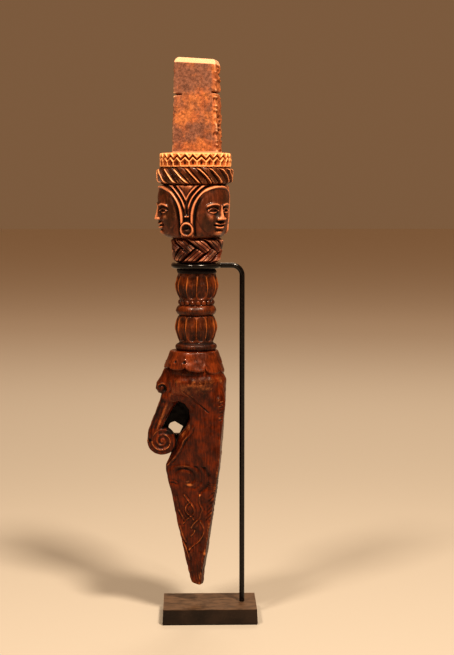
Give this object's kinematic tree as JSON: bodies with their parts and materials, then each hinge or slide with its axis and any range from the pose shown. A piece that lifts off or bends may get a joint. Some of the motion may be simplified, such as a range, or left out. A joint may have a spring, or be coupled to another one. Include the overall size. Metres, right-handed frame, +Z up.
{
  "type": "carved wooden ritual peg on display stand",
  "caption": "Carved wooden peg with a three-sided blade, trunked beast guard, fluted grip, faced head and plain tang, held upright by the neck in a wire yoke on a block stand.",
  "frame": {"origin": "middle of the underside of the stand's felt-covered base", "axes": "+Z up along the post, -Y towards the viewer, +X from the peg towards the post"},
  "size_m": [0.0729, 0.049, 0.3722],
  "materials": {
    "black_steel": "black paint, satin on the block and glossy on the rod",
    "black_felt": "thin black felt",
    "zinc_steel": "zinc plated",
    "carved_wood": "carved hardwood, oiled and handled dark, worn bright on the ridges, dusty pale tang"
  },
  "bodies": {
    "stand": {"base_block": "black_steel", "base_felt": "black_felt", "post": "black_steel", "post_washer": "zinc_steel", "post_nut": "zinc_steel", "yoke": "black_steel"},
    "wrap": {"neck_wrap": "black_felt"},
    "peg": {"carved_peg": "carved_wood"}
  },
  "joints": [
    {"name": "peg_withdrawal", "type": "slide", "parent": "stand", "child": "wrap", "axis": [0, 1, 0], "range_m": [0, 0.06]},
    {"name": "peg_swivel", "type": "hinge", "parent": "wrap", "child": "peg", "pos_m": [-0.0086, 0, 0.2362], "axis": [0, 0, 1], "range_deg": [-150, 160]}
  ]
}
